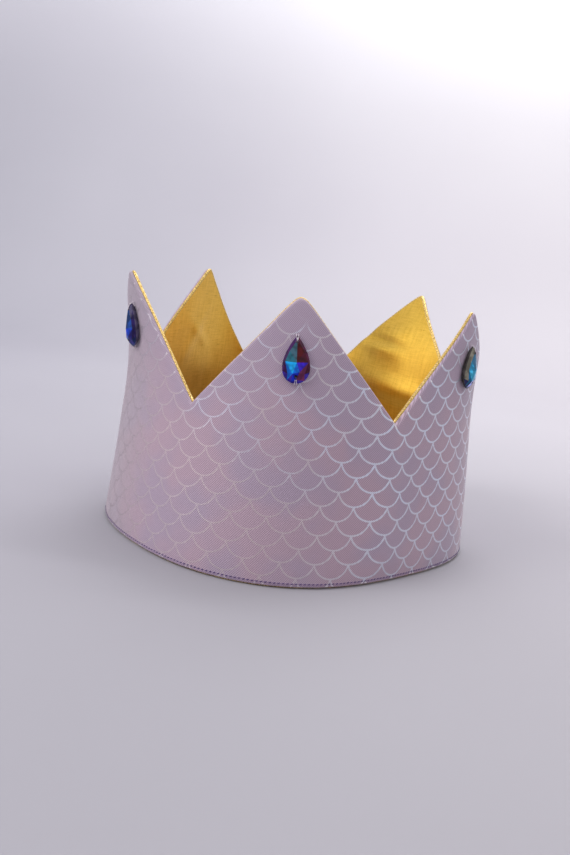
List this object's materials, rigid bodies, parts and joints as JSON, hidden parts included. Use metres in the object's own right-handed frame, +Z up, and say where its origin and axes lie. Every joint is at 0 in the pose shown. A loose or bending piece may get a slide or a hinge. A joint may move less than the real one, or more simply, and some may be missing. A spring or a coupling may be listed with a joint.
{
  "type": "fabric dress-up crown",
  "caption": "Child's padded fabric crown with pointed top edge, metallic lining, pear stones and an elastic back, worn on the head for dressing up.",
  "frame": {"origin": "middle of the crown's box, at the level of the hem", "axes": "+Z up through the points, -Y towards the front point, +X to the wearer's left as the crown is seen from the front"},
  "size_m": [0.1666, 0.1866, 0.112],
  "materials": {
    "printed_cloth": "lilac twill printed with thin foil scale lines",
    "felt": "pale matt felt",
    "gold_lining": "gold metallic woven cloth",
    "elastic": "ribbed knitted elastic",
    "thread": "purple sewing thread",
    "crystal": "faceted blue crystal with a silvered back"
  },
  "bodies": {
    "root": {"outer_panel": "printed_cloth", "stiffener_panel": "felt", "lining_panel": "gold_lining", "back_elastic": "elastic", "hem_stitching": "thread", "end_stitching": "thread", "gem_front": "crystal", "gem_left": "crystal", "gem_right": "crystal", "gem_back_left": "crystal", "gem_back_right": "crystal"}
  },
  "joints": []
}
